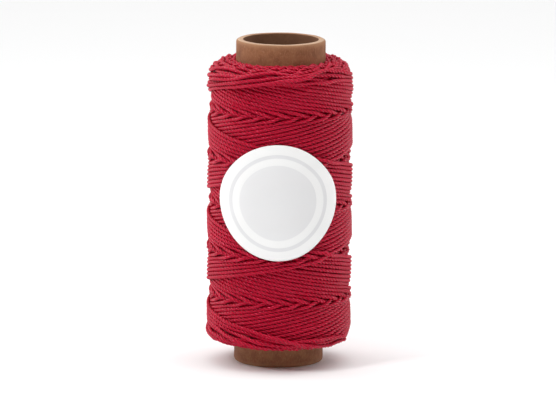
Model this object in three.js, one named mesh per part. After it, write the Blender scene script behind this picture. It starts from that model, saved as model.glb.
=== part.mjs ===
// A spool of twisted polyester cord, standing on end: a plain cardboard tube, the cord wound
// crosswise round it, and a round paper label stuck on the front of the winding.
// Millimetres, +Z up along the tube's axis, the label towards -Y, the origin at the middle of the
// tube's lower end. Angles are measured from the front and grow to the right as seen from there.
import * as THREE from 'three';

const FULL_TURN = 2 * Math.PI;
const CORD_DIAMETER = 1;
const GAP = 0.3;

// The cardboard tube: its cut ends are worn round outside and nearly sharp inside.
const TUBE = {
  length: 84, outer: 23, inner: 19.3, outerEdge: 0.7, innerEdge: 0.3, edgeSteps: 3, sides: 72,
};

// The wound cord: its middle radius, where its two ends meet the tube, how far each end face falls
// away per millimetre outwards, and the half axes of the rounded shoulders between end and side.
const WINDING = {
  radius: 18.8,
  bore: TUBE.outer / 2 + GAP,
  top: { z: 79.4, fall: 0.13, shoulderIn: 3.2, shoulderDown: 7 },
  bottom: { z: 4.9, fall: 0.1, shoulderIn: 5.2, shoulderDown: 3.2 },
};

// How the cord is laid: it climbs and falls by one pitch for each turn round the tube, three turns
// to a stroke, and each stroke lies beside the one before it. firstCrossing is the height at which
// the lowest turns cross, newest the angle at which the last stroke crosses itself there.
const LAY = { pitch: 24.1, firstCrossing: 5.9, newest: THREE.MathUtils.degToRad(48) };

// One lay of cord stands this far over the lay under it, and its open edge slopes off over this
// share of the full circle.
const LAY_RISE = 0.85 * CORD_DIAMETER;
const LAY_EDGE = 0.08;
const END_FACE_RELIEF = 0.25;

const SIDES = 68;
const SIDE_ROWS = 40;
const SHOULDER_ROWS = 6;
const END_ROWS = 3;

// The label is a disc as seen from the front, bent round the winding.
const LABEL = {
  diameter: 29.8, middle: 44.6, aside: -0.45, thickness: 0.4, rings: 7, sectors: 40,
  reach: 1.6, samples: 2,
};

const COLOURS = { cardboard: 0x93684a, cord: 0xb3142f, paper: 0xf1f1ef };

const wrapped = (x) => x - Math.floor(x);

/** Rises evenly from 0 to 1 along a full circle, then drops back over the open edge of the lay. */
function coverOf(share) {
  const x = wrapped(share - LAY_EDGE / 2);
  return x < 1 - LAY_EDGE ? x / (1 - LAY_EDGE) : (1 - x) / LAY_EDGE;
}

/**
 * How far the winding stands over its middle radius. The climbing and the falling turns each have
 * one open edge, a helix along the newest turn, with a full lay of cord behind it and none ahead.
 */
function reliefAt(angle, z) {
  const round = (angle - LAY.newest) / FULL_TURN;
  const turns = (z - LAY.firstCrossing) / LAY.pitch;
  return LAY_RISE * (coverOf(round - turns) + coverOf(round + turns) - 1);
}

/** A shoulder's points from the end face round to the side, with the way out at each. */
function shoulderOf(end, facing) {
  const { radius } = WINDING;
  const zFlat = end.z - facing * end.fall * (radius - end.shoulderIn - WINDING.bore);
  const points = [];
  for (let i = 0; i <= SHOULDER_ROWS; i += 1) {
    const turn = (i / SHOULDER_ROWS) * (Math.PI / 2);
    points.push({
      r: radius - end.shoulderIn * (1 - Math.sin(turn)),
      z: zFlat - facing * end.shoulderDown * (1 - Math.cos(turn)),
      outR: Math.sin(turn),
      outZ: facing * Math.cos(turn),
    });
  }
  return points;
}

/** The points of an end face, from the bore out to the shoulder's first point, which it leaves out. */
function endFaceOf(end, facing, shoulderStart) {
  const points = [];
  for (let i = 0; i < END_ROWS; i += 1) {
    const share = i / END_ROWS;
    points.push({
      r: THREE.MathUtils.lerp(WINDING.bore, shoulderStart.r, share),
      z: THREE.MathUtils.lerp(end.z, shoulderStart.z, share),
      outR: 0,
      outZ: i === 0 ? 0 : facing,
    });
  }
  return points;
}

/** The winding's closed section: out under it, up its side, in over the top and down the bore. */
function windingSection() {
  const low = shoulderOf(WINDING.bottom, -1);
  const high = shoulderOf(WINDING.top, 1);
  const side = [];
  for (let i = 1; i < SIDE_ROWS; i += 1) {
    const z = THREE.MathUtils.lerp(low.at(-1).z, high.at(-1).z, i / SIDE_ROWS);
    side.push({ r: WINDING.radius, z, outR: 1, outZ: 0 });
  }
  const under = [...endFaceOf(WINDING.bottom, -1, low[0]), ...low];
  const over = [...endFaceOf(WINDING.top, 1, high[0]), ...high];
  return [...under, ...side, ...over.reverse()];
}

/** A point of the winding's skin, moved out by the relief, which fades towards the end faces. */
function woundPoint(p, angle) {
  const strength = p.outR + (1 - p.outR) * END_FACE_RELIEF;
  const rise = reliefAt(angle, p.z) * strength;
  const r = p.r + p.outR * rise;
  return [r * Math.sin(angle), -r * Math.cos(angle), p.z + p.outZ * rise];
}

/** A body whose closed section is carried round the axis, each point placed by place(p, angle). */
function ringBody(section, sides, place) {
  const positions = [];
  const faces = [];
  for (let i = 0; i < sides; i += 1) {
    const angle = (i / sides) * FULL_TURN;
    section.forEach((p) => positions.push(...place(p, angle)));
  }
  const at = (i, j) => (i % sides) * section.length + (j % section.length);
  for (let i = 0; i < sides; i += 1) {
    for (let j = 0; j < section.length; j += 1) {
      faces.push(at(i, j), at(i + 1, j), at(i + 1, j + 1));
      faces.push(at(i, j), at(i + 1, j + 1), at(i, j + 1));
    }
  }
  return indexedGeometry(positions, faces);
}

function indexedGeometry(positions, faces) {
  const geometry = new THREE.BufferGeometry();
  geometry.setAttribute('position', new THREE.Float32BufferAttribute(positions, 3));
  geometry.setIndex(faces);
  geometry.computeVertexNormals();
  return geometry;
}

/** The tube's wall as a closed outline of radius and height, its four edges rounded. */
function tubeOutline() {
  const { length, outerEdge, innerEdge } = TUBE;
  const inner = TUBE.inner / 2 + innerEdge;
  const outer = TUBE.outer / 2 - outerEdge;
  const corners = [
    { r: outer, z: outerEdge, edge: outerEdge, from: -90 },
    { r: outer, z: length - outerEdge, edge: outerEdge, from: 0 },
    { r: inner, z: length - innerEdge, edge: innerEdge, from: 90 },
    { r: inner, z: innerEdge, edge: innerEdge, from: 180 },
  ];
  const outline = corners.flatMap(({ r, z, edge, from }) => {
    const arc = [];
    for (let i = 0; i <= TUBE.edgeSteps; i += 1) {
      const turn = THREE.MathUtils.degToRad(from + (90 * i) / TUBE.edgeSteps);
      arc.push(new THREE.Vector2(r + edge * Math.cos(turn), z + edge * Math.sin(turn)));
    }
    return arc;
  });
  return [...outline, outline[0].clone()];
}

/** The winding's radius under the paper, smoothed as paper bridges it: a mean of local peaks. */
function paperRadius(angle, z) {
  const steps = [];
  for (let i = -LABEL.samples; i <= LABEL.samples; i += 1) {
    steps.push((i / LABEL.samples) * LABEL.reach);
  }
  const shifts = steps.flatMap((a) => steps.map((b) => ({ turn: a / WINDING.radius, rise: b })));
  const peak = (a, h) => Math.max(...shifts.map((s) => reliefAt(a + s.turn, h + s.rise)));
  const peaks = shifts.map((s) => peak(angle + s.turn, z + s.rise));
  return WINDING.radius + peaks.reduce((sum, x) => sum + x, 0) / peaks.length + GAP;
}

/** The bent disc of the label, an inner and an outer face closed along the rim. */
function labelGeometry() {
  const positions = [];
  const faces = [];
  const place = (ring, sector, lift) => {
    const reach = (ring / LABEL.rings) * (LABEL.diameter / 2);
    const turn = (sector / LABEL.sectors) * FULL_TURN;
    const x = LABEL.aside + reach * Math.cos(turn);
    const z = LABEL.middle + reach * Math.sin(turn);
    const angle = Math.asin(x / (WINDING.radius + GAP));
    const r = paperRadius(angle, z) + lift;
    return [x, -Math.sqrt(r * r - x * x), z];
  };
  const perFace = 1 + LABEL.rings * LABEL.sectors;
  [0, LABEL.thickness].forEach((lift) => {
    positions.push(...place(0, 0, lift));
    for (let ring = 1; ring <= LABEL.rings; ring += 1) {
      for (let s = 0; s < LABEL.sectors; s += 1) positions.push(...place(ring, s, lift));
    }
  });
  const at = (side, ring, s) => (
    side * perFace + (ring === 0 ? 0 : 1 + (ring - 1) * LABEL.sectors + (s % LABEL.sectors))
  );
  const add = (side, a, b, c) => faces.push(...(side === 1 ? [a, b, c] : [a, c, b]));
  for (let s = 0; s < LABEL.sectors; s += 1) {
    [0, 1].forEach((side) => {
      add(side, at(side, 0, 0), at(side, 1, s), at(side, 1, s + 1));
      for (let ring = 1; ring < LABEL.rings; ring += 1) {
        add(side, at(side, ring, s), at(side, ring + 1, s), at(side, ring + 1, s + 1));
        add(side, at(side, ring, s), at(side, ring + 1, s + 1), at(side, ring, s + 1));
      }
    });
    const rim = LABEL.rings;
    faces.push(at(0, rim, s), at(0, rim, s + 1), at(1, rim, s + 1));
    faces.push(at(0, rim, s), at(1, rim, s + 1), at(1, rim, s));
  }
  return indexedGeometry(positions, faces);
}

function namedMesh(name, geometry, color, roughness) {
  const material = new THREE.MeshStandardMaterial({ color, roughness, metalness: 0 });
  const mesh = new THREE.Mesh(geometry, material);
  mesh.name = name;
  return mesh;
}

const tube = new THREE.LatheGeometry(tubeOutline(), TUBE.sides);
tube.rotateX(Math.PI / 2);

const group = new THREE.Group();
group.add(namedMesh('core_tube', tube, COLOURS.cardboard, 0.9));
group.add(namedMesh(
  'cord_winding', ringBody(windingSection(), SIDES, woundPoint), COLOURS.cord, 0.5,
));
group.add(namedMesh('front_label', labelGeometry(), COLOURS.paper, 0.6));

export default group;
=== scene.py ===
"""A spool of twisted polyester cord, wound crosswise on a cardboard tube, with a round paper label.

Lengths are in millimetres, as in the part's source, and go into the meshes in metres. Angles are
measured from the front and grow to the right as seen from there; +Z is up along the tube's axis.
"""

import logging
import math
from collections.abc import Callable
from dataclasses import dataclass, field
from enum import Enum

import bpy
import numpy as np
from mathutils import Matrix, Vector

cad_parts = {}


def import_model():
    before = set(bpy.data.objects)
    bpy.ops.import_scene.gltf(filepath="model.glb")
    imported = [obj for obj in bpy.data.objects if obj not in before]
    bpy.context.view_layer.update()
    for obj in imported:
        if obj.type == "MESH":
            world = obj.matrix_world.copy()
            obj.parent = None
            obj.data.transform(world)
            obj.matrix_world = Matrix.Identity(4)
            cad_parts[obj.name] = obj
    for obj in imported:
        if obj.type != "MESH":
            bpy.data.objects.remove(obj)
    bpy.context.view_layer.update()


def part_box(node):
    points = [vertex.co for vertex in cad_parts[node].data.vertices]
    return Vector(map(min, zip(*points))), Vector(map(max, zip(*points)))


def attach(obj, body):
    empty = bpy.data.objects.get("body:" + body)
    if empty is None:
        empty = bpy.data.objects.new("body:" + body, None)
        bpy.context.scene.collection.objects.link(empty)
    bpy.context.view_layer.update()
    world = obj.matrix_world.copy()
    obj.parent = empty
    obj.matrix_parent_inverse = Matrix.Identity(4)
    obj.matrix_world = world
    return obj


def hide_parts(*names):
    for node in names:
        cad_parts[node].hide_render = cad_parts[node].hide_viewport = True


LOG = logging.getLogger("spool")
MM = 0.001
FULL_TURN = 2 * math.pi
BODY = "root"

Array = np.ndarray
Piece = bpy.types.Object
Material = bpy.types.Material
Socket = bpy.types.NodeSocket
Triple = tuple[float, float, float]
Colour = Triple


class Slot(Enum):
    """The record's material slots."""

    CARDBOARD = "cardboard"
    CORD = "cord"
    PAPER = "paper"


# Arrays


def smoothed(values: Array, sigma: float) -> Array:
    """Smooths the last axis with a bell curve, the end values carried on past both ends.

    Args:
        values: numbers to smooth, in one or more rows.
        sigma: half width of the bell curve, in samples.

    Returns:
        An array of the same shape.
    """
    reach = max(1, int(3 * sigma))
    bell = np.exp(-0.5 * (np.arange(-reach, reach + 1) / sigma) ** 2)
    bell /= bell.sum()
    padded = np.pad(values, [(0, 0)] * (values.ndim - 1) + [(reach, reach)], mode="edge")
    rows = padded.reshape(-1, padded.shape[-1])
    return np.stack([np.convolve(row, bell, "valid") for row in rows]).reshape(values.shape)


def smoothed_round(values: Array, sigma: float) -> Array:
    """Smooths the first axis with a bell curve, as values that run on round the full circle.

    Args:
        values: one row for each angle.
        sigma: half width of the bell curve, in rows.

    Returns:
        An array of the same shape.
    """
    count = len(values)
    away = np.minimum(np.arange(count), count - np.arange(count))
    bell = np.exp(-0.5 * (away / sigma) ** 2)
    spectrum = np.fft.rfft(bell / bell.sum())
    return np.fft.irfft(np.fft.rfft(values, axis=0) * spectrum[:, None], n=count, axis=0)


def eased(share: Array) -> Array:
    """Turns an even rise from 0 to 1 into one that starts and ends gently: 3x^2 - 2x^3."""
    held = np.clip(share, 0, 1)
    return held * held * (3 - 2 * held)


def wander(rng: np.random.Generator, places: Array, reach: float) -> Array:
    """A smooth random line with one fresh value at each whole number and an eased way between.

    Args:
        rng: source of the random values.
        places: rising places along the line, from 0.
        reach: spread of the random values.

    Returns:
        The line's value at each place.
    """
    knots = rng.normal(0, reach, int(places[-1]) + 3)
    low = places.astype(int)
    share = eased(places - low)
    return knots[low] * (1 - share) + knots[low + 1] * share


def round_axis(angle: Array, radius: Array, z: Array) -> Array:
    """Points at these angles, radii and heights: (r sin a, -r cos a, z)."""
    parts = np.broadcast_arrays(radius * np.sin(angle), -radius * np.cos(angle), z)
    return np.stack(parts, axis=-1)


# Meshes


def mesh_object(name: str, points: Array, corners: Array, sizes: Array) -> Piece:
    """Makes a smooth-shaded mesh object at the origin.

    Args:
        name: the piece's name.
        points: its vertices, in millimetres.
        corners: the vertex of every face corner, face after face.
        sizes: how many corners each face has.

    Returns:
        The object, linked to the scene.
    """
    mesh = bpy.data.meshes.new(name)
    mesh.vertices.add(len(points))
    mesh.vertices.foreach_set("co", (points * MM).astype(np.float32).ravel())
    mesh.loops.add(len(corners))
    mesh.polygons.add(len(sizes))
    mesh.polygons.foreach_set("loop_start", (np.cumsum(sizes) - sizes).astype(np.int32))
    mesh.polygons.foreach_set("vertices", corners.astype(np.int32))
    mesh.polygons.foreach_set("use_smooth", np.ones(len(sizes), bool))
    mesh.update(calc_edges=True)
    piece = bpy.data.objects.new(name, mesh)
    bpy.context.scene.collection.objects.link(piece)
    return piece


def grid_faces(rows: int, columns: int, closed: bool = False) -> Array:
    """Quads of a grid of points whose columns run on round a circle.

    Args:
        rows: points along the first way.
        columns: points round the circle.
        closed: whether the last row joins the first one too.

    Returns:
        The four corners of each quad, so wound that it faces along row cross column.
    """
    bands = rows if closed else rows - 1
    row, column = np.meshgrid(np.arange(bands), np.arange(columns), indexing="ij")
    here, after = row * columns, (row + 1) % rows * columns
    beside = (column + 1) % columns
    quads = [here + column, after + column, after + beside, here + beside]
    return np.stack(quads, axis=-1).reshape(-1, 4)


def ring_body(name: str, points: Array) -> Piece:
    """Makes a closed ring-shaped body from a grid of points that runs on both ways.

    Args:
        name: the piece's name.
        points: rows along the section, clockwise as (radius, height), by columns round the axis.

    Returns:
        The object.
    """
    rows, columns = points.shape[:2]
    quads = grid_faces(rows, columns, closed=True)
    return mesh_object(name, points.reshape(-1, 3), quads.ravel(), np.full(len(quads), 4))


def disc_body(name: str, points: Array, front: Array, back: Array) -> Piece:
    """Makes a closed disc-shaped body from rings of points and the middles of its two faces.

    Args:
        name: the piece's name.
        points: rows from the ring round the front's middle out, over the rim and in again behind.
        front: the middle of the front face.
        back: the middle of the back face.

    Returns:
        The object.
    """
    rows, columns = points.shape[:2]
    quads = grid_faces(rows, columns)
    ring = np.arange(columns)
    beside = (ring + 1) % columns
    last = (rows - 1) * columns
    pole = rows * columns
    front_fan = np.stack([np.full(columns, pole), ring, beside], axis=1)
    back_fan = np.stack([np.full(columns, pole + 1), last + beside, last + ring], axis=1)
    corners = np.concatenate([quads.ravel(), front_fan.ravel(), back_fan.ravel()])
    sizes = np.repeat([4, 3], [len(quads), 2 * columns])
    return mesh_object(name, np.concatenate([points.reshape(-1, 3), [front, back]]), corners, sizes)


def point_attribute(piece: Piece, name: str, values: Array) -> None:
    """Keeps one number for each vertex under a name that a material reads."""
    layer = piece.data.attributes.new(name, "FLOAT", "POINT")
    layer.data.foreach_set("value", values.astype(np.float32).ravel())


def corner_map(piece: Piece, name: str, *parts: tuple[Array, Array]) -> None:
    """Adds a UV map.

    Args:
        piece: the object.
        name: the map's name.
        parts: u and v of the face corners, part after part, in shapes that broadcast together.
    """
    places = [np.stack(np.broadcast_arrays(u, v), axis=-1).reshape(-1, 2) for u, v in parts]
    layer = piece.data.uv_layers.new(name=name, do_init=False)
    layer.uv.foreach_set("vector", np.concatenate(places).astype(np.float32).ravel())


def fit_out(piece: Piece, slot: Slot, finish: Material, *nodes: str) -> None:
    """Dresses a piece, lets it ride with the part and hides the solids that it stands for.

    Args:
        piece: the object.
        slot: not used.
        finish: its material.
        nodes: the solids that it replaces.
    """
    piece.data.materials.append(finish)
    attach(piece, BODY)
    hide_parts(*nodes)
    triangles = len(piece.data.loops) - 2 * len(piece.data.polygons)
    LOG.info("%s: %d triangles", piece.name, triangles)


# Finishes


def maths(operation: str, reflected: bool = False) -> "Callable[..., Number]":
    """Makes a method of Number that adds a Math node.

    Args:
        operation: the node's operation.
        reflected: whether the number itself comes last, as the mask in 1 - mask.

    Returns:
        The method, which takes the other operands and returns the node's value.
    """

    def method(self: "Number", *others: "Number | float") -> "Number":
        """Adds the node on this number and the others."""
        operands = (*others, self) if reflected else (self, *others)
        return self.graph.number("Math", {"operation": operation}, dict(enumerate(operands)))

    return method


@dataclass(frozen=True)
class Number:
    """A number's socket in a node graph, on which Python's operators add Math nodes."""

    graph: "Graph"
    socket: Socket

    __add__ = maths("ADD")
    __radd__ = maths("ADD", reflected=True)
    __sub__ = maths("SUBTRACT")
    __rsub__ = maths("SUBTRACT", reflected=True)
    __mul__ = maths("MULTIPLY")
    __rmul__ = maths("MULTIPLY", reflected=True)
    __truediv__ = maths("DIVIDE")
    at_least = maths("MAXIMUM")
    at_most = maths("MINIMUM")
    root = maths("SQRT")
    wave = maths("SINE")
    size = maths("ABSOLUTE")

    def held(self, low: float, high: float) -> "Number":
        """The value kept between two limits."""
        return self.at_least(low).at_most(high)

    def step(self, low: float, high: float) -> "Number":
        """Rises smoothly from 0 at low to 1 at high."""
        inputs = {"Value": self, "From Min": low, "From Max": high}
        return self.graph.number("MapRange", {"interpolation_type": "SMOOTHSTEP"}, inputs, "Result")


Settings = dict[str, object]
Inputs = dict[str | int, object]


class Graph:
    """The node graph of one material."""

    def __init__(self, name: str) -> None:
        """Starts an empty material.

        Args:
            name: the material's name.
        """
        self.material = bpy.data.materials.new(name)
        self.material.use_nodes = True
        self.tree = self.material.node_tree
        self.tree.nodes.clear()

    def node(
        self, kind: str, settings: Settings | None = None, inputs: Inputs | None = None
    ) -> bpy.types.Node:
        """Adds a node.

        Args:
            kind: the node's type, without Blender's ShaderNode in front.
            settings: its properties, set first.
            inputs: a value, a Number or a socket for each input, by name or number.

        Returns:
            The node.
        """
        node = self.tree.nodes.new("ShaderNode" + kind)
        for key, value in (settings or {}).items():
            setattr(node, key, value)
        for key, value in (inputs or {}).items():
            source = value.socket if isinstance(value, Number) else value
            if isinstance(source, Socket):
                self.tree.links.new(source, node.inputs[key])
            else:
                node.inputs[key].default_value = source
        return node

    def number(
        self, kind: str, settings: Settings | None = None, inputs: Inputs | None = None,
        output: str | int = 0,
    ) -> Number:
        """Adds a node as node() does, and returns one of its outputs as a Number."""
        return Number(self, self.node(kind, settings, inputs).outputs[output])

    def stretched(self, at: Socket, stretch: Triple) -> Socket:
        """A place whose three values are each multiplied by a factor."""
        return self.node("Mapping", inputs={"Vector": at, "Scale": stretch}).outputs["Vector"]

    def place(self, stretch: Triple = (1.0, 1.0, 1.0)) -> Socket:
        """Object coordinates in millimetres, each stretched by a factor."""
        at = self.node("TexCoord").outputs["Object"]
        return self.stretched(at, tuple(factor / MM for factor in stretch))

    def axes(self, at: Socket) -> tuple[Number, ...]:
        """The x, y and z of a place."""
        parts = self.node("SeparateXYZ", inputs={0: at})
        return tuple(Number(self, part) for part in parts.outputs)

    def noise(self, at: Socket, scale: float, detail: float = 2.0) -> Number:
        """Soft noise from 0 to 1 at a place, with this many cells to a unit."""
        return self.number("TexNoise", inputs={"Vector": at, "Scale": scale, "Detail": detail})

    def mixed(self, share: Number | float, first: Colour | Socket, second: Colour | Socket) -> Socket:
        """Mixes two colours.

        Args:
            share: 0 gives the first colour and 1 the second.
            first: a colour or a colour's socket.
            second: a colour or a colour's socket.

        Returns:
            The mixed colour's socket.
        """
        full = [(*c, 1.0) if isinstance(c, tuple) else c for c in (first, second)]
        # A Mix node's factor and its two colour inputs have these numbers.
        inputs = {0: share, 6: full[0], 7: full[1]}
        return self.node("Mix", {"data_type": "RGBA"}, inputs).outputs[2]

    def bump(self, height: Number, depth: float) -> Socket:
        """The normal of a surface raised by height times depth, depth in millimetres."""
        return self.node("Bump", inputs={"Height": height, "Distance": depth * MM}).outputs["Normal"]

    def finish(self, **inputs: object) -> Material:
        """Ends the graph in a Principled shader.

        Args:
            inputs: its sockets, with _ for the spaces in their names.

        Returns:
            The finished material.
        """
        named = {key.replace("_", " "): value for key, value in inputs.items()}
        shader = self.node("BsdfPrincipled", inputs=named)
        self.node("OutputMaterial", inputs={"Surface": shader.outputs["BSDF"]})
        return self.material


@dataclass(frozen=True)
class CordFinish:
    """Waxed polyester: deep crimson yarn with a satin shine, with shade painted darker between the plies.

    The stretches are cells to a twist length along the cord and cells to a way round it.
    """

    crest: Colour = (0.55, 0.001, 0.025)
    # groove: painted shade, the dark crimson painted where the plies meet.
    groove: Colour = (0.24, 0.0, 0.005)
    pale: Colour = (0.70, 0.008, 0.046)
    roughness: float = 0.21
    shine: float = 0.85
    shine_tint: tuple[float, ...] = (1.0, 0.22, 0.38, 1.0)
    fibre_stretch: Triple = (1.0, 16.0, 1.0)
    cloud_stretch: Triple = (0.12, 0.6, 1.0)
    ply_relief: float = 0.11
    fibre_relief: float = 0.015

    def material(self) -> Material:
        """Makes the material from the ply attribute and the map along and round the cord.

        Returns:
            The material.
        """
        graph = Graph("crimson_cord")
        ply = graph.number("Attribute", {"attribute_name": CordMesher.PLY}, output="Fac")
        along = graph.node("UVMap", {"uv_map": CordMesher.ALONG}).outputs["UV"]
        # Yarn fibres run along the plies: long cells one way and fine ones across.
        fibres = graph.noise(graph.stretched(along, self.fibre_stretch), scale=3.0, detail=3.0)
        # Wax and dye vary slowly along the cord.
        cloud = graph.noise(graph.stretched(along, self.cloud_stretch), scale=1.0)
        # depth is 1 on the crests and 0 in the grooves: it masks the painted shade, and sets the relief and
        # the roughness.
        depth = (ply * 0.5 + 0.5).step(0.0, 0.9)
        body = graph.mixed(cloud.step(0.35, 0.75) * 0.5, self.crest, self.pale)
        # Painted shade: the colour falls from the body to the groove colour as depth falls into the grooves
        # between the plies.
        colour = graph.mixed(depth * 0.8 + fibres * 0.3, self.groove, body)
        relief = depth * self.ply_relief + fibres * self.fibre_relief
        return graph.finish(
            Base_Color=colour,
            Roughness=(self.roughness + (fibres - 0.5) * 0.2 + (1 - depth) * 0.3).held(0.2, 0.8),
            Specular_IOR_Level=self.shine,
            Specular_Tint=self.shine_tint,
            Normal=graph.bump(relief, 1.0),
        )


@dataclass(frozen=True)
class UnderlayFinish:
    """The turns beneath the last ones, which show only as a dark red ground in the gaps."""

    colour: Colour = (0.40, 0.0, 0.014)
    shade: float = 0.4
    rib_spacing: float = 1.0
    rib_depth: float = 0.3

    def material(self) -> Material:
        """Makes the material: matt, ribbed level like tightly packed cord, with shade painted darker between
        the ribs.

        Returns:
            The material.
        """
        graph = Graph("crimson_ground")
        at = graph.place()
        height = graph.axes(at)[2]
        ribs = ((height * (FULL_TURN / self.rib_spacing)).wave() + 1) * 0.5
        cloud = graph.noise(at, scale=0.8)
        # Painted shade: dark, the colour times shade, fills the hollows between the ribs; the cloud adds a
        # random tone.
        dark = tuple(self.shade * c for c in self.colour)
        colour = graph.mixed(ribs * 0.6 + cloud * 0.4, dark, self.colour)
        return graph.finish(Base_Color=colour, Roughness=0.6, Normal=graph.bump(ribs, self.rib_depth))


@dataclass(frozen=True)
class CardboardFinish:
    """Brown kraft cardboard: mottled and flecked with fibres, with paler cut ends that show its plies.

    The cut and the band of wear and painted highlight are given by how far from an end they start
    and stop to fade. The bore's darker face fades by shares of the wall, and the cut end is
    painted browner behind the axis, a painted shade on its far side.
    """

    kraft: Colour = (0.32, 0.138, 0.062)
    dark: Colour = (0.20, 0.076, 0.034)
    fleck: Colour = (0.40, 0.21, 0.11)
    cut: Colour = (0.62, 0.44, 0.31)
    inner: Colour = (0.16, 0.075, 0.040)
    cut_band: tuple[float, float] = (0.02, 0.22)
    wear_and_highlight_band: tuple[float, float] = (0.2, 1.6)
    bore_band: tuple[float, float] = (0.04, 0.2)
    fibre_stretch: Triple = (1.0, 1.0, 0.4)
    relief_depth: float = 0.12

    def material(self, tube: "CardboardTube") -> Material:
        """Makes the material.

        Args:
            tube: the tube, for its radii, its length and its plies.

        Returns:
            The material.
        """
        graph = Graph("kraft_cardboard")
        at = graph.place()
        x, y, z = graph.axes(at)
        radius = (x * x + y * y).root()
        mottle = graph.noise(at, scale=0.45, detail=4.0)
        fibres = graph.noise(graph.place(self.fibre_stretch), scale=3.6, detail=4.0)
        flecks = graph.noise(at, scale=2.4, detail=1.0).step(0.62, 0.74)
        tone = mottle.step(0.25, 0.70) * 0.7 + fibres.step(0.3, 0.7) * 0.3
        body = graph.mixed(tone, self.dark, self.kraft)
        body = graph.mixed(flecks * 0.5 + (fibres - 0.5) * 1.2, body, self.fleck)
        wall = tube.outer - tube.inner
        inside = 1 - radius.step(*(tube.inner + share * wall for share in self.bore_band))
        body = graph.mixed(inside * 0.8, body, self.inner)
        plies = ((radius * (FULL_TURN * tube.plies / wall)).wave() + 1) * 0.5
        from_end = tube.length / 2 - (z - tube.length / 2).size()
        near_end = 1 - from_end.step(*self.cut_band)
        # Paler near each end on the outside: partly wear of the rubbed edges, partly a painted highlight of
        # the light falling on the top end.
        worn = (1 - from_end.step(*self.wear_and_highlight_band)) * 0.5
        body = graph.mixed(worn * (1 - inside), body, self.fleck)
        cut = graph.mixed(plies * 0.35 + fibres * 0.3, self.cut, self.fleck)
        # Painted shade: the cut end turns browner towards +y, on the far side behind the axis.
        cut = graph.mixed((y / tube.outer).step(0.1, 0.9) * 0.85, cut, self.kraft)
        colour = graph.mixed(near_end, body, cut)
        relief = mottle * 0.6 + fibres * 0.8 + plies * near_end * 0.5
        return graph.finish(
            Base_Color=colour,
            Roughness=(0.78 + (fibres - 0.5) * 0.2).held(0.5, 0.95),
            Specular_IOR_Level=0.3,
            Normal=graph.bump(relief, self.relief_depth),
        )


@dataclass(frozen=True)
class PaperFinish:
    """Smooth white label paper, printed with a plain pale grey disc and a thin grey ring.

    The disc's rim and the ring's two edges are shares of the label's radius.
    """

    white: Colour = (0.90, 0.90, 0.895)
    grey: Colour = (0.76, 0.76, 0.77)
    disc_rim: float = 0.66
    disc_strength: float = 0.75
    ring_edges: tuple[float, float] = (0.78, 0.84)
    blur: float = 0.005
    grain_depth: float = 0.01

    def design(self, reach: Number) -> Number:
        """The printed design.

        Args:
            reach: share of the way from the middle to the rim.

        Returns:
            How grey the paper is: 0 where it is white, 1 on the ring.
        """
        disc, start, end = (
            reach.step(edge - self.blur, edge + self.blur) for edge in (self.disc_rim, *self.ring_edges)
        )
        return (1 - disc) * self.disc_strength + start * (1 - end)

    def material(self, label: "FrontLabel") -> Material:
        """Makes the material.

        Args:
            label: the label, for its middle and its size.

        Returns:
            The material.
        """
        graph = Graph("label_paper")
        at = graph.place()
        x, _, z = graph.axes(at)
        x, z = x - label.aside, z - label.middle
        reach = (x * x + z * z).root() / label.radius
        grain = graph.noise(at, scale=6.0, detail=3.0)
        return graph.finish(
            Base_Color=graph.mixed(self.design(reach), self.white, self.grey),
            Roughness=0.5,
            Specular_IOR_Level=0.4,
            Normal=graph.bump(grain, self.grain_depth),
        )


# Winding


@dataclass(frozen=True)
class WindingEnd:
    """One end of the winding: a face that falls away outwards and a shoulder, a quarter ellipse."""

    z: float
    fall: float
    shoulder_in: float
    shoulder_down: float
    facing: int


@dataclass(frozen=True)
class WindingShape:
    """The plain section of the wound cord, as in the part's source."""

    radius: float = 18.8
    bore: float = 11.8
    top: WindingEnd = WindingEnd(79.4, 0.13, 3.2, 7.0, 1)
    bottom: WindingEnd = WindingEnd(4.9, 0.10, 5.2, 3.2, -1)

    def flat_height(self, end: WindingEnd) -> float:
        """Height of an end face where its shoulder starts."""
        return end.z - end.facing * end.fall * (self.radius - end.shoulder_in - self.bore)

    def radius_at(self, z: Array) -> Array:
        """The section's radius: the side, the quarter ellipses and, past them, the sloping end faces.

        Args:
            z: heights.

        Returns:
            The radius at each height, never under the bore.
        """
        radius = np.full(np.shape(z), self.radius, float)
        for end in (self.top, self.bottom):
            past = end.facing * (z - self.flat_height(end))
            core = self.radius - end.shoulder_in
            share = np.clip(1 + past / end.shoulder_down, 0, None)
            shoulder = core + end.shoulder_in * np.sqrt(np.clip(1 - share**2, 0, 1))
            radius = np.minimum(radius, np.where(share <= 1, shoulder, core - past / end.fall))
        return np.maximum(radius, self.bore)


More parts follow.
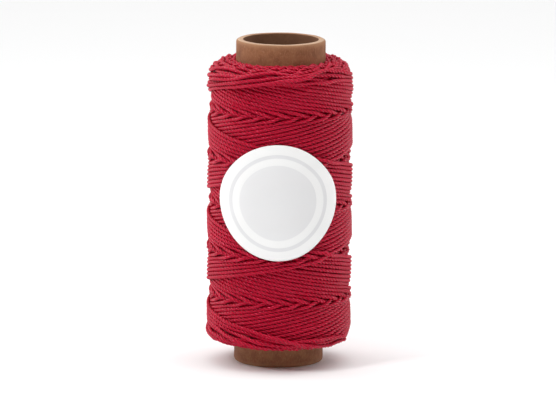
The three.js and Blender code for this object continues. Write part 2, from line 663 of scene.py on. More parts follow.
@dataclass
class WoundCord:
    """The middle line of the wound cord, one sample for each column that it passes.

    It shows where at least least_shown of its width isn't under other turns. That is measured in
    rows of height row, and hidden_by is how much higher another turn has to stand there.
    """

    angle: Array
    radius: Array
    z: Array
    column: Array
    cord_radius: float
    least_shown: float = 0.2
    row: float = 0.05
    hidden_by: float = 0.01
    leans: tuple[float, ...] = (0, 45, 90, -45, -90)

    def points(self) -> Array:
        """The middle line as points."""
        return round_axis(self.angle, self.radius, self.z)

    def shown(self) -> Array:
        """Marks the samples that show from outside.

        Returns:
            Whether each sample shows along any of the ways out, level or leaning up or down.
        """
        seen = np.zeros(len(self.z), bool)
        for lean in self.leans:
            seen |= self._shown_along(math.radians(lean))
        return seen

    def _shown_along(self, lean: float) -> Array:
        """Marks the samples that show when the winding is seen along one way out.

        Each sample raises a round back, h + sqrt(r^2 - d^2), over its place p in its column, with
        p = z cos - r sin across that way and h = r cos + z sin along it. It shows where enough of
        its back isn't under another one.

        Args:
            lean: how far the way out leans up, in radians.

        Returns:
            Whether each sample shows.
        """
        place = self.z * math.cos(lean) - self.radius * math.sin(lean)
        height = self.radius * math.cos(lean) + self.z * math.sin(lean)
        half = round(self.cord_radius / self.row)
        across = np.arange(-half, half + 1)
        back = np.sqrt(self.cord_radius**2 - (across * self.row) ** 2)
        rows = np.round((place - place.min()) / self.row).astype(int) + half
        width = rows.max() + half + 1
        cells = (self.column * width + rows)[:, None] + across
        backs = height[:, None] + back
        top = np.full((self.column.max() + 1) * width, -np.inf)
        np.maximum.at(top, cells.ravel(), backs.ravel())
        open_rows = (backs >= top[cells] - self.hidden_by).sum(axis=1)
        return open_rows * self.row > self.least_shown

    def evened(self, step: float) -> tuple["WoundCord", Array]:
        """The same cord in even steps of its length.

        Args:
            step: length between two samples.

        Returns:
            The resampled cord, and the number of the old samples at each new one.
        """
        points = self.points()
        gone = np.concatenate([[0], np.cumsum(np.linalg.norm(np.diff(points, axis=0), axis=1))])
        even = np.arange(0, gone[-1], step)
        old = np.interp(even, gone, np.arange(len(gone)))
        nearest = np.round(old).astype(int)
        lines = [np.interp(even, gone, line) for line in (self.angle, self.radius, self.z)]
        return WoundCord(*lines, self.column[nearest], self.cord_radius), nearest


@dataclass
class CordWinder:
    """Winds the cord on the tube turn by turn, as the winding machine does.

    The cord climbs and falls between the two ends while it goes round, three turns to a stroke,
    and each stroke lies beside the one before. The skin of the winding is a height field, one
    radius for each column round the axis and each row up it. A stretch of cord comes to rest on
    the highest skin under it, slips sideways into the lowest place near its way, bridges hollows
    as a taut string does, and then raises the skin by its own round back.
    """

    shape: WindingShape = field(default_factory=WindingShape)
    cord_radius: float = 0.5
    tube_radius: float = 11.5
    seed: int = 3

    # The height field: columns round the axis, and the height of a row, the lowest and the highest.
    columns: int = 960
    row: float = 0.05
    low: float = 1.0
    high: float = 83.0

    # The route: height for a turn, where the lowest turns cross, where the newest one does, in
    # degrees, how far each double stroke creeps on, and how far the zigzag overruns its ends.
    pitch: float = 24.1
    turns_per_stroke: int = 3
    first_crossing: float = 5.9
    newest: float = 48.0
    creep: float = 15.3
    double_strokes: int = 99
    overrun: float = 0.3
    unevenness: float = 0.035
    wander_turns: tuple[float, ...] = (0.17, 1.1)

    # The lean of the last strokes: its height up and down, the middle and the reach of its wave in
    # degrees, and the double strokes ago from which it fades and by which it is gone.
    lean_up: float = 2.0
    lean_down: float = 0.8
    lean_middle: float = -40.0
    lean_reach: float = 240.0
    lean_ages: tuple[float, float] = (7.0, 22.0)

    # The turning points: the outermost and the innermost height at each end, the step between the
    # heights tried, the stretch looked at, in columns each way, and the stretch rounded, in turns
    # each way, with the share of it that fades. The room over an end is counted up to the section
    # a margin further out, and up to the headroom over the winding's middle.
    top_turnings: tuple[float, float] = (78.6, 75.0)
    bottom_turnings: tuple[float, float] = (5.4, 8.2)
    turning_try: float = 0.15
    turning_columns: int = 100
    turning_turns: float = 0.30
    turning_fade: float = 0.25
    turning_spread: float = 0.05
    softness: float = 0.7
    soft_rise: float = 0.43
    outward_pull: float = 0.006
    shoulder_margin: float = 0.35
    middle_rows: int = 240
    headroom: float = 0.6
    first_headroom: float = 1.2

    # How the cord comes to rest: stretches laid at once, in turns, how far it slips aside and what
    # that costs, the width that can touch, and how deep it sinks, less in the last strokes. The
    # rest counts columns: what is looked at before and after a stretch, and what is smoothed.
    stretch_turns: float = 0.47
    slip: float = 0.4
    slip_cost: float = 0.12
    slip_tries: int = 7
    slip_choice: float = 0.04
    contact: float = 0.36
    sink: float = 0.245
    fresh: float = 0.12
    fresh_strokes: float = 6.0
    bridge_rounds: int = 3
    bridge_lags: tuple[int, ...] = (2, 4, 8, 14, 22)
    bend: float = 4.0
    look_back: int = 60
    look_ahead: int = 80
    cost_blur: float = 8.0
    slip_blur: float = 7.0
    slip_join: float = 25.0
    radius_join: float = 12.0

    # The press of the pull: how often, in turns, between which heights, over which lengths rings
    # are compared, by which share of what stands proud, and how many turns back it reaches.
    press_every: float = 3.0
    press_turns: int = 200
    press_from: float = 8.0
    press_to: float = 73.0
    press_fade: float = 4.0
    press_broad: float = 6.0
    press_fine: float = 0.8
    press_share: float = 0.15
    end_press_share: float = 0.3
    shoulder_room: float = 0.3

    # The cut end: how many turns run on past the last stroke, and how it stands off.
    tail: float = 0.06
    tail_lift: float = 0.6
    tail_length: float = 1.6

    def wind(self) -> WoundCord:
        """Winds the whole cord.

        Returns:
            Its middle line.
        """
        self._start()
        self._plan_route()
        stretch = int(self.stretch_turns * self.columns)
        pressed = start = turned = 0
        while start < self.count:
            stop = min(self.count, start + stretch)
            while turned < len(self.turning) and self.turning[turned] < stop + stretch:
                self._settle_turning(turned)
                turned += 1
            self._lay(start, stop)
            start = stop
            if stop - pressed > self.press_every * self.columns:
                self._press(stop)
                pressed = stop
        self._lift_tail()
        angle = self.first_angle + np.arange(self.count) * (FULL_TURN / self.columns)
        return WoundCord(angle, self.radius, self.z, self.column, self.cord_radius)

    def rows_at(self, z: Array) -> Array:
        """The number of the row nearest to each height."""
        return np.round((z - self.low) / self.row).astype(int)

    def _start(self) -> None:
        """Sets up the bare tube and the cord's round back over its width."""
        self.rng = np.random.default_rng(self.seed)
        self.heights = np.arange(round((self.high - self.low) / self.row) + 1) * self.row + self.low
        self.skin = np.full((self.columns, len(self.heights)), self.tube_radius)
        half = round(self.cord_radius / self.row)
        self.across = np.arange(-half, half + 1)
        width = self.across * self.row
        self.back = np.sqrt(np.maximum(self.cord_radius**2 - width**2, 0))
        self.touching = np.abs(width) <= self.contact + self.row / 100

    def _plan_route(self) -> None:
        """Plans the height at each column passed: a zigzag over the strokes, with a slight wander."""
        period = 2 * self.turns_per_stroke + self.creep / 360
        wound = int(self.double_strokes * period * self.columns)
        self.count = wound + int(self.tail * self.columns)
        turns = np.arange(self.count) / self.columns
        last = (wound - 1) / self.columns
        share = (turns - last) / period
        share -= np.floor(share)
        stroke = self.turns_per_stroke * self.pitch + 2 * self.overrun
        self.z = self.first_crossing - self.overrun + stroke * (1 - np.abs(1 - 2 * share))
        self.z += self._lean_of((share - 0.5) * period * 360, (last - turns) / period)
        for spacing in self.wander_turns:
            self.z += wander(self.rng, turns / spacing, self.unevenness)
        self.first_angle = math.radians(self.newest) - FULL_TURN * (last % 1.0)
        self.column = np.arange(self.count) % self.columns
        self.radius = np.zeros(self.count)
        self.slipped = np.zeros(self.count)
        order = np.arange(2 * self.double_strokes + 1)
        self.turning_step = period / 2 * self.columns
        self.turning = last * self.columns - order[::-1] * self.turning_step
        self.turns_at_top = order % 2 == 1

    def _lean_of(self, from_top: Array, age: Array) -> Array:
        """How far the last strokes lean towards the top: early up it, so nearly level there, and early down.

        Args:
            from_top: degrees gone since the turning at the top, less than 0 before it.
            age: how many double strokes come after each sample.

        Returns:
            The change of height, a smooth wave round the turning at the top, 0 for the older strokes.
        """
        place = (from_top - self.lean_middle) / self.lean_reach * math.pi
        wave = -np.sin(place) * (1 + np.cos(place)) / 2 * (np.abs(place) < math.pi)
        fading, gone = self.lean_ages
        newness = np.clip((gone - age) / (gone - fading), 0, 1)
        return newness * np.where(wave < 0, self.lean_down, self.lean_up) * wave

    def _rest(self, column: Array, z: Array) -> Array:
        """The radius at which the cord's middle rests on the skin.

        Args:
            column: the column of each sample.
            z: the height of each sample.

        Returns:
            The highest of skin plus cord over the width that can touch.
        """
        under = self.skin[column[:, None], self.rows_at(z)[:, None] + self.across[self.touching]]
        return np.max(under + self.back[self.touching], axis=1)

    def _settle_turning(self, index: int) -> None:
        """Moves one turning point to where its end of the winding has most room, and rounds the route there.

        The route z becomes a soft limit of itself and the chosen height, so that the cord runs
        level for a while before it turns back.

        Args:
            index: which turning point.
        """
        top = self.turns_at_top[index]
        centre = round(self.turning[index])
        reach = int(self.turning_turns * self.columns)
        start, stop = max(0, centre - reach), min(self.count, centre + reach)
        near = np.arange(max(start, centre - self.turning_columns), min(stop, centre + self.turning_columns))
        if len(near) < self.turning_columns / 10:
            return
        outermost, innermost = self.top_turnings if top else self.bottom_turnings
        steps = round(abs(outermost - innermost) / self.turning_try)
        tries = np.linspace(outermost, innermost, steps + 1)
        middle = len(self.heights) // 2
        now = self.skin[self.column[near], middle - self.middle_rows:middle + self.middle_rows].mean()
        stacked = [self._rest(self.column[near], np.full(len(near), z)).mean() for z in tries]
        facing = 1 if top else -1
        limit = max(now + self.headroom, self.tube_radius + self.first_headroom)
        room = np.minimum(self.shape.radius_at(tries + facing * self.shoulder_margin), limit)
        room -= np.array(stacked) + self.cord_radius + self.outward_pull * np.arange(len(tries))
        chosen = tries[np.argmax(room)] + self.rng.normal(0, self.turning_spread)
        soft = facing * self.softness
        z = self.z[start:stop]
        limited = -soft * np.logaddexp(-z / soft, -(chosen + self.soft_rise * soft) / soft)
        share = np.abs(np.linspace(-1, 1, stop - start))
        self.z[start:stop] = z + (limited - z) * eased((1 - share) / self.turning_fade)

    def _slip_of(self, column: Array, z: Array) -> Array:
        """How far each sample slips sideways: the mean of the tries, weighted towards the lowest rest.

        Args:
            column: the column of each sample.
            z: the planned height of each sample.

        Returns:
            The change of height.
        """
        tries = np.linspace(-self.slip, self.slip, self.slip_tries)[:, None]
        cost = smoothed(np.stack([self._rest(column, z + s) for s in tries[:, 0]]), self.cost_blur)
        cost += self.slip_cost * (tries / self.slip) ** 2
        weight = np.exp(-(cost - cost.min(axis=0)) / self.slip_choice)
        return (weight * tries).sum(axis=0) / weight.sum(axis=0)

    def _bridged(self, rest: Array) -> Array:
        """Lifts a taut cord off hollows.

        No sample lies under the chord of its neighbours L away on each side, less the sag L^2/2R.

        Args:
            rest: the radius at which each sample would rest.

        Returns:
            The lifted radius, smoothed as the cord's stiffness does.
        """
        mean = float(rest.mean())
        step = FULL_TURN * mean / self.columns
        line = rest
        for _ in range(self.bridge_rounds):
            for lag in self.bridge_lags:
                chord = np.full_like(line, -np.inf)
                sag = (lag * step) ** 2 / (2 * mean)
                chord[lag:-lag] = (line[:-2 * lag] + line[2 * lag:]) / 2 - sag
                line = np.maximum(line, chord)
        return smoothed(line, self.bend)

    def _lay(self, start: int, stop: int) -> None:
        """Lays one stretch of cord on the skin.

        Args:
            start: its first sample.
            stop: the sample after its last one.
        """
        back, ahead = max(0, start - self.look_back), min(self.count, stop + self.look_ahead)
        column, z = self.column[start:ahead], self.z[start:ahead]
        before = start - back
        slip = np.concatenate([self.slipped[back:start], self._slip_of(column, z)])
        slip = smoothed(slip, self.slip_blur)[before:]
        if before:
            slip += (self.slipped[start - 1] - slip[0]) * np.exp(-np.arange(len(slip)) / self.slip_join)
        z = z + slip
        strokes_left = (self.count - start) / self.turning_step / 2
        sink = self.sink - self.fresh * math.exp(-strokes_left / self.fresh_strokes)
        rest = np.concatenate([self.radius[back:start] + sink, self._rest(column, z)])
        radius = self._bridged(rest)[before:] - sink
        if before:
            jump = self.radius[start - 1] - radius[0]
            radius += jump * np.exp(-np.arange(len(radius)) / self.radius_join)
        laid = stop - start
        column, z, radius = column[:laid], z[:laid], radius[:laid]
        self.slipped[start:stop] = slip[:laid]
        self.z[start:stop] = z
        self.radius[start:stop] = radius
        covered = column[:, None], self.rows_at(z)[:, None] + self.across
        self.skin[covered] = np.maximum(self.skin[covered], radius[:, None] + self.back)

    def _press(self, stop: int) -> None:
        """Evens out rings that stand proud, as the pull of the cord over them does.

        Up the side, rings are drawn both ways to the mean of their neighbours. Towards the ends
        they are only pressed in, to the section's shoulder.

        Args:
            stop: the sample after the last one laid.
        """
        z, ring = self.heights, self.skin.mean(axis=0)
        low, high, fade = self.press_from, self.press_to, self.press_fade
        body = (z > low) & (z < high)
        broad = np.interp(z, z[body], smoothed(ring[body], self.press_broad / self.row))
        broad = np.minimum(broad, self.shape.radius_at(z) + self.shoulder_room)
        proud = smoothed(ring, self.press_fine / self.row) - broad
        side = np.clip((z - low) / fade, 0, 1) * np.clip((high - z) / fade, 0, 1)
        drop = self.press_share * proud * side
        drop += self.end_press_share * np.maximum(proud, 0) * (1 - side)
        self.skin = np.maximum(self.skin - drop, self.tube_radius)
        recent = slice(max(0, stop - self.press_turns * self.columns), stop)
        self.radius[recent] -= np.interp(self.z[recent], z, drop)

    def _lift_tail(self) -> None:
        """Lets the cut end of the cord stand a little off the winding."""
        step = FULL_TURN * self.radius[-1] / self.columns
        from_end = np.arange(self.count)[::-1] * step
        self.radius += self.tail_lift * eased(1 - from_end / self.tail_length)


@dataclass
class CordMesher:
    """Turns the shown stretches of the wound cord into closed three-ply twisted cords.

    Round the cord stand twelve points, four to a ply: crest, flank, groove and flank. Each ring
    is turned on a little from the one before, so the rows of points run along the plies.
    """

    PLY = "ply"
    ALONG = "Along"
    BAKE = "OFBake"

    # The section: the crest's radius, and the flank's and the groove's as shares of it, with the
    # number that the material reads at each for the relief and the painted shade in the grooves. The first
    # and the last ring are drawn in to a tip.
    cord_radius: float = 0.52
    plies: int = 3
    flank: float = 0.91
    groove: float = 0.70
    ply_values: tuple[float, ...] = (1.0, 0.2, -1.0, 0.2)
    tip: float = 0.6

    # The twist, how far a stretch runs on under the cords that cover its ends, and the length at
    # the cut end that is always made.
    lay_length: float = 3.6
    rings_per_lay: int = 10
    run_on: float = 1.2
    shown_tail: float = 6.0
    pieces: int = 6

    # The bake map: rings to a row, the margin between rows and the radius of an end's place.
    rings_per_row: int = 96
    map_margin: float = 0.06
    map_end_radius: float = 0.3

    @property
    def sides(self) -> int:
        """Points round the cord."""
        return 4 * self.plies

    @property
    def step(self) -> float:
        """Length between two rings."""
        return self.lay_length / self.rings_per_lay

    def build(self, wound: WoundCord, name: str) -> list[Piece]:
        """Makes the shown stretches as several pieces of about the same size, from low to high.

        Args:
            wound: the wound cord.
            name: the pieces' name, which gets a number.

        Returns:
            The pieces.
        """
        cord, nearest = wound.evened(self.step)
        seen = wound.shown()[nearest]
        seen[-round(self.shown_tail / self.step):] = True
        reach = round(self.run_on / self.step)
        shown = np.convolve(seen, np.ones(2 * reach + 1), "same") > 0.5
        edges = np.diff(np.concatenate([[0], shown.astype(np.int8), [0]]))
        starts, stops = np.flatnonzero(edges == 1), np.flatnonzero(edges == -1)
        middle = np.array([cord.z[a:b].mean() for a, b in zip(starts, stops, strict=True)])
        order = np.argsort(middle)
        rings = np.cumsum((stops - starts)[order])
        share = np.minimum((rings * self.pieces - 1) // rings[-1], self.pieces - 1)
        metres = [count * self.step * MM for count in (len(cord.z), rings[-1])]
        LOG.info("%.1f m of cord wound, %.1f m shown", *metres)
        frames = self._frames(cord)
        made = []
        for number in range(self.pieces):
            chosen = order[share == number]
            made.append(self._piece(frames, starts[chosen], stops[chosen], f"{name}_{number + 1}"))
        return made

    def _frames(self, cord: WoundCord) -> tuple[Array, Array, Array]:
        """Where each ring lies and how it is turned.

        The outward way is the way from the axis less its part along the cord, the sideways way is
        the cord's way cross the outward one.

        Args:
            cord: the cord, one sample for each ring.

        Returns:
            The middle, the outward way and the sideways way of each ring.
        """
        middle = cord.points()
        along = np.gradient(middle, axis=0)
        along /= np.linalg.norm(along, axis=1, keepdims=True)
        out = round_axis(cord.angle, np.ones(len(cord.z)), np.zeros(len(cord.z)))
        out -= along * (out * along).sum(axis=1, keepdims=True)
        out /= np.linalg.norm(out, axis=1, keepdims=True)
        return middle, out, np.cross(along, out)

    def _piece(self, frames: tuple[Array, Array, Array], starts: Array, stops: Array, name: str) -> Piece:
        """Makes one piece of several stretches.

        Each point lies at middle - r (out cos t + sideways sin t), with its own r and t.

        Args:
            frames: the middle, the outward way and the sideways way of each ring of the cord.
            starts: the first ring of each stretch.
            stops: the ring after its last one.
            name: the piece's name.

        Returns:
            The piece, with its ply attribute and both maps.
        """
        lengths = stops - starts
        first = np.cumsum(lengths) - lengths
        last = first + lengths - 1
        total = int(lengths.sum())
        ring = np.arange(total) + np.repeat(starts - first, lengths)
        sides, side = self.sides, np.arange(self.sides)
        profile = np.tile([1.0, self.flank, self.groove, self.flank], self.plies)
        size = np.full(total, self.cord_radius)
        size[np.concatenate([first, last])] *= self.tip
        reach = (size[:, None] * profile)[:, :, None]
        turn = FULL_TURN * (side / sides + ring[:, None] / self.rings_per_lay)[:, :, None]
        middle, out, sideways = (line[ring][:, None] for line in frames)
        points = middle - reach * (np.cos(turn) * out + np.sin(turn) * sideways)
        lower = np.setdiff1d(np.arange(total), last)
        here = lower[:, None] * sides
        after = here + sides
        beside = (side + 1) % sides
        quads = np.stack([here + side, here + beside, after + beside, after + side], axis=-1)
        ends = np.concatenate([first[:, None] * sides + side[::-1], last[:, None] * sides + side])
        corners = np.concatenate([quads.ravel(), ends.ravel()])
        counts = np.repeat([4, sides], [len(lower) * sides, len(ends)])
        piece = mesh_object(name, points.reshape(-1, 3), corners, counts)
        point_attribute(piece, self.PLY, np.tile(self.ply_values, self.plies * total))
        self._add_maps(piece, ring, lower, first, last)
        return piece

    def _add_maps(self, piece: Piece, ring: Array, lower: Array, first: Array, last: Array) -> None:
        """Adds the map along and round the cord, and the one with every quad in a place of its own.

        In the first, u is the length along the whole cord in twist lengths, and v the share of the
        way round, which follows the plies. The second lays the rings out in rows.

        Args:
            piece: the object.
            ring: each ring's number along the whole cord.
            lower: the lower ring of each band of quads.
            first: the first ring of each stretch.
            last: its last ring.
        """
        side = np.arange(self.sides)
        u, v = np.array([0, 0, 1, 1]), np.array([0, 1, 1, 0])
        band = lower[:, None, None]
        round_it = (side[:, None] + v) / self.sides
        ends = np.concatenate([first, last])[:, None]
        end_side = np.repeat([side[::-1], side], [len(first), len(last)], axis=0)
        along = (ring[band] + u) / self.rings_per_lay
        end_along = ring[ends] / self.rings_per_lay
        corner_map(piece, self.ALONG, (along, round_it), (end_along, end_side / self.sides))
        row, column = np.divmod(np.arange(len(ring)), self.rings_per_row)
        rows = row[-1] + 1
        across = self.map_margin + (1 - 2 * self.map_margin) * round_it
        x = (column[band] + u) / self.rings_per_row
        y = (row[band] + across) / rows
        turn = end_side * (FULL_TURN / self.sides)
        end_x = (column[ends] + 0.5 + self.map_end_radius * np.cos(turn)) / self.rings_per_row
        end_y = (row[ends] + 0.5 + self.map_end_radius * np.sin(turn)) / rows
        corner_map(piece, self.BAKE, (x, y), (end_x, end_y))


@dataclass
class GroundShape:
    """How the ground beneath the shown turns follows the skin: its rows, its depth and its coarseness.

    Its radius is the lowest skin within reach, less a little, and never over the section less a
    margin. near counts rows of the skin, aside and blur its columns, and every thinned-th column
    becomes a row of points.
    """

    low: float = 6.6
    high: float = 77.6
    row: float = 0.5
    near: tuple[int, ...] = tuple(range(-12, 13, 3))
    aside: tuple[int, ...] = (-4, 0, 4)
    blur: float = 4.0
    thinned: int = 6
    depth: float = 0.25
    section_margin: float = 0.3
    bore_gap: float = 0.1


@dataclass
class CordWinding:
    """The wound cord: its shown turns, and the ground beneath them."""

    winder: CordWinder = field(default_factory=CordWinder)
    mesher: CordMesher = field(default_factory=CordMesher)
    under: GroundShape = field(default_factory=GroundShape)
    node: str = "cord_winding"

    def build(self) -> None:
        """Winds the cord, and makes and dresses all pieces of the winding."""
        finish = CordFinish().material()
        for piece in self.mesher.build(self.winder.wind(), "cord_turns"):
            fit_out(piece, Slot.CORD, finish, self.node)
        fit_out(self.ground(), Slot.CORD, UnderlayFinish().material(), self.node)

    def ground(self) -> Piece:
        """The body of turns beneath the shown ones, a closed ring: up its side, and down by the tube.

        Returns:
            The object.
        """
        winder, under = self.winder, self.under
        z = np.arange(under.low, under.high, under.row)
        rows = winder.rows_at(z)[:, None] + np.array(under.near)
        lows = winder.skin[:, rows].min(axis=2)
        lows = np.minimum.reduce([np.roll(lows, shift, axis=0) for shift in under.aside])
        lows = smoothed_round(lows, under.blur)[::under.thinned]
        side = np.minimum(lows, winder.shape.radius_at(z) - under.section_margin) - under.depth
        angle = np.arange(len(side)) * (FULL_TURN / len(side)) + winder.first_angle
        inner = np.full((1, len(angle)), winder.tube_radius + under.bore_gap)
        bottom = round_axis(angle[None, :], inner, z[0])
        top = round_axis(angle[None, :], inner, z[-1])
        body = round_axis(angle[None, :], side.T, z[:, None])
        return ring_body("cord_ground", np.concatenate([bottom, body, top])[::-1])


@dataclass
class CardboardTube:
    """The tube that carries the cord: plain cardboard, a little uneven at its cut ends."""

    outer: float
    inner: float
    length: float
    outer_edge: float = 0.7
    inner_edge: float = 0.3
    plies: int = 5
    unevenness: float = 0.05
    uneven_end: float = 0.95
    waves: tuple[int, ...] = (2, 3, 4, 5, 6, 7, 8)
    wall_points: int = 32
    rim_points: int = 5
    edge_points: int = 6
    sides: int = 160
    seed: int = 8
    node: str = "core_tube"

    @classmethod
    def from_frame(cls, wall: float = 1.85) -> "CardboardTube":
        """Takes the radii and the length from the tube's solid.

        Args:
            wall: the wall's thickness, as in the part's source.

        Returns:
            The tube.
        """
        low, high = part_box(cls.node)
        outer = (high.x - low.x) / 2 / MM
        return cls(outer=outer, inner=outer - wall, length=high.z / MM)

    def outline(self) -> Array:
        """The wall's closed outline, its four edges rounded as quarter circles.

        Returns:
            Its points as (radius, height), clockwise.
        """
        inner, outer, length = self.inner, self.outer, self.length
        turn = np.radians(np.linspace(0, 90, self.edge_points))
        corner = np.stack([1 - np.cos(turn), np.sin(turn) - 1], axis=1)
        worn, sharp = self.outer_edge * corner, self.inner_edge * corner
        up = np.linspace(self.outer_edge, length - self.outer_edge, self.wall_points)[1:-1]
        across = np.linspace(inner + self.inner_edge, outer - self.outer_edge, self.rim_points)[1:-1]
        return np.concatenate([
            np.stack([np.full(len(up), inner), up], axis=1),
            sharp + (inner, length),
            np.stack([across, np.full(len(across), length)], axis=1),
            (worn * (-1, 1) + (outer, length))[::-1],
            np.stack([np.full(len(up), outer), up[::-1]], axis=1),
            worn * (-1, -1) + (outer, 0),
            np.stack([across[::-1], np.zeros(len(across))], axis=1),
            (sharp * (1, -1) + (inner, 0))[::-1],
        ])

    def build(self) -> None:
        """Makes and dresses the tube: the outline carried round, with slow waves in radius and height."""
        rng = np.random.default_rng(self.seed)
        angle = np.arange(self.sides) * (FULL_TURN / self.sides)
        outline = self.outline()
        radius, z = outline[:, :1], outline[:, 1:]
        waves = np.array(self.waves)
        strength = rng.normal(0, 1, (4, len(waves))) / waves
        shift = rng.uniform(0, FULL_TURN, (4, len(waves)))
        wave = (strength[:, :, None] * np.cos(waves[:, None] * angle + shift[:, :, None])).sum(axis=1)
        share = z / self.length
        out = self.unevenness * (wave[0] * (1 - share) + wave[1] * share)
        cut = -2 * self.unevenness * np.abs(wave[2] * (share - 0.5) * 2) * np.sign(share - 0.5)
        near_end = np.abs(share - 0.5) * 2 > self.uneven_end
        piece = ring_body("cardboard_tube", round_axis(angle, radius + out, z + cut * near_end))
        fit_out(piece, Slot.CARDBOARD, CardboardFinish().material(self), self.node)


@dataclass
class FrontLabel:
    """The round paper label, bent round the winding and stuck to the crests of its cords.

    The paper bridges the cords over bridge_rows rows of the skin, taken one after another, and is
    smoothed over smooth_columns columns and smooth_height millimetres.
    """

    radius: float
    middle: float
    aside: float
    thickness: float = 0.22
    lift: float = 0.3
    bridge_rows: tuple[int, ...] = (2, 4, 8, 16)
    smooth_columns: float = 20.0
    smooth_height: float = 1.6
    rings: int = 26
    sectors: int = 144
    node: str = "front_label"

    @classmethod
    def from_frame(cls) -> "FrontLabel":
        """Takes the size and the place from the label's solid.

        Returns:
            The label.
        """
        low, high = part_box(cls.node)
        return cls(
            radius=(high.z - low.z) / 2 / MM,
            middle=(high.z + low.z) / 2 / MM,
            aside=(high.x + low.x) / 2 / MM,
        )

    def build(self, winder: CordWinder) -> None:
        """Makes and dresses the label.

        Seen from the front it is a true disc. Its radius from the axis is the winding's crest,
        smoothed over several cords as the paper bridges them, plus a little.

        Args:
            winder: the winder, with the skin of the whole winding.
        """
        crest = winder.skin
        for rows in self.bridge_rows:
            crest = np.maximum(crest, np.roll(crest, rows, axis=1))
            crest = np.maximum(crest, np.roll(crest, -rows, axis=1))
        paper = smoothed(smoothed_round(crest, self.smooth_columns), self.smooth_height / winder.row)
        reach = np.linspace(0, 1, self.rings + 1)[1:] * self.radius
        reach = np.concatenate([reach, reach[::-1]])
        behind = np.repeat([0, 1], self.rings)
        turn = -np.arange(self.sectors) * (FULL_TURN / self.sectors)
        grid = [reach[:, None] * np.cos(turn), reach[:, None] * np.sin(turn)]
        flat = np.stack([*grid, np.broadcast_to(behind[:, None], grid[0].shape)], axis=-1)
        points = self._bent(flat.reshape(-1, 3), paper, winder).reshape(*flat.shape)
        middles = self._bent(np.array([[0.0, 0.0, 0.0], [0.0, 0.0, 1.0]]), paper, winder)
        piece = disc_body("paper_label", points, *middles)
        fit_out(piece, Slot.PAPER, PaperFinish().material(self), self.node)

    def _bent(self, flat: Array, paper: Array, winder: CordWinder) -> Array:
        """Bends places of the flat disc round the winding.

        Args:
            flat: x and z from the disc's middle, and 0 for the front or 1 for the back.
            paper: the smooth radius under the paper, by column and row.
            winder: the winder, for its columns and rows.

        Returns:
            Points with the same x and z, and y = -sqrt(r^2 - x^2).
        """
        x, z = self.aside + flat[:, 0], self.middle + flat[:, 1]
        angle = np.arcsin(x / winder.shape.radius)
        column = (angle - winder.first_angle) / FULL_TURN * winder.columns
        low = np.floor(column).astype(int)
        share = column - low
        row = winder.rows_at(z)
        here, beside = (paper[at % winder.columns, row] for at in (low, low + 1))
        near = here * (1 - share) + beside * share
        radius = near + self.lift + self.thickness * (1 - flat[:, 2])
        return np.stack([x, -np.sqrt(radius**2 - x**2), z], axis=1)


# Studio


@dataclass(frozen=True)
class AreaLight:
    """A soft rectangular light that points at the middle of the spool."""

    name: str
    azimuth: float
    elevation: float
    distance: float
    size: tuple[float, float]
    power: float


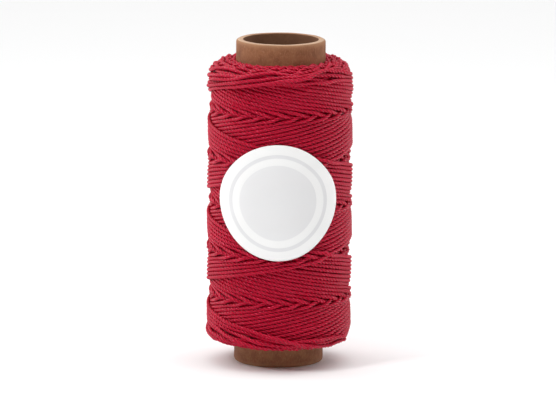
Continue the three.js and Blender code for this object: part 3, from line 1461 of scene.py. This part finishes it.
@dataclass
class Studio:
    """The pale floor, the soft light and the camera, with its pose and its focal length in pixels."""

    target: Triple = (-0.417, 0.0, 41.113)
    distance: float = 1500.0
    elevation: float = 10.321
    roll: float = 0.47
    focal_pixels: float = 5811.8
    image_width: int = 556
    sensor: float = 36.0
    clip: tuple[float, float] = (0.05, 50.0)
    floor_size: float = 8000.0
    floor_colour: Colour = (0.93, 0.93, 0.93)
    floor_roughness: float = 0.9
    world: float = 0.08
    lights: tuple[AreaLight, ...] = (
        AreaLight("left_softbox", -54, 36, 380, (70, 110), 0.50),
        AreaLight("right_softbox", 68, 26, 420, (100, 160), 0.24),
        AreaLight("front_fill", -8, 3, 800, (600, 160), 0.32),
        AreaLight("overhead_panel", 180, 80, 1500, (3200, 3200), 52.0),
        AreaLight("back_left_softbox", -118, 8, 420, (220, 420), 0.7),
        AreaLight("back_right_softbox", 116, 8, 420, (220, 420), 0.55),
    )

    def place_camera(self) -> None:
        """Sets the camera at the photo's angle: towards the middle, a little above, slightly rolled."""
        data = bpy.data.cameras.new("camera")
        data.sensor_width = self.sensor
        data.lens = self.focal_pixels * self.sensor / self.image_width
        data.clip_start, data.clip_end = self.clip
        camera = bpy.data.objects.new("camera", data)
        bpy.context.scene.collection.objects.link(camera)
        rise = math.radians(self.elevation)
        back = Vector((0, -math.cos(rise), math.sin(rise)))
        up = Vector((0, math.sin(rise), math.cos(rise)))
        right = Vector((1, 0, 0))
        roll = math.radians(self.roll)
        across = right * math.cos(roll) + up * math.sin(roll)
        upward = up * math.cos(roll) - right * math.sin(roll)
        turned = Matrix((across, upward, back)).transposed().to_4x4()
        turned.translation = (Vector(self.target) + back * self.distance) * MM
        camera.matrix_world = turned
        bpy.context.scene.camera = camera

    def place_lights(self) -> None:
        """Puts up the soft lights and an even white sky."""
        middle = Vector(self.target) * MM
        for light in self.lights:
            data = bpy.data.lights.new(light.name, "AREA")
            data.shape = "RECTANGLE"
            data.size, data.size_y = (side * MM for side in light.size)
            data.energy = light.power
            turn, rise = math.radians(light.azimuth), math.radians(light.elevation)
            level = math.cos(rise)
            way = Vector((math.sin(turn) * level, -math.cos(turn) * level, math.sin(rise)))
            lamp = bpy.data.objects.new(light.name, data)
            lamp.location = middle + way * light.distance * MM
            lamp.rotation_euler = way.to_track_quat("Z", "Y").to_euler()
            bpy.context.scene.collection.objects.link(lamp)
        world = bpy.data.worlds.new("white_sky")
        world.use_nodes = True
        sky = world.node_tree.nodes["Background"]
        sky.inputs["Color"].default_value = (1.0, 1.0, 1.0, 1.0)
        sky.inputs["Strength"].default_value = self.world
        bpy.context.scene.world = world

    def lay_floor(self) -> None:
        """Lays a plain pale floor under the spool."""
        half = self.floor_size / 2
        points = np.array([[-half, -half, 0], [half, -half, 0], [half, half, 0], [-half, half, 0]])
        floor = mesh_object("floor", points, np.arange(4), np.array([4]))
        colour = (*self.floor_colour, 1.0)
        finish = Graph("pale_floor").finish(Base_Color=colour, Roughness=self.floor_roughness)
        floor.data.materials.append(finish)

    def set_up(self) -> None:
        """Makes the whole studio."""
        self.place_camera()
        self.place_lights()
        self.lay_floor()
        bpy.context.scene.view_settings.view_transform = "Standard"


def main() -> None:
    """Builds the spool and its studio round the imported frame."""
    logging.basicConfig(level=logging.INFO, format="%(message)s")
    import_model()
    Studio().set_up()
    winding = CordWinding()
    winding.build()
    CardboardTube.from_frame().build()
    FrontLabel.from_frame().build(winding.winder)


if __name__ == "__main__":
    main()
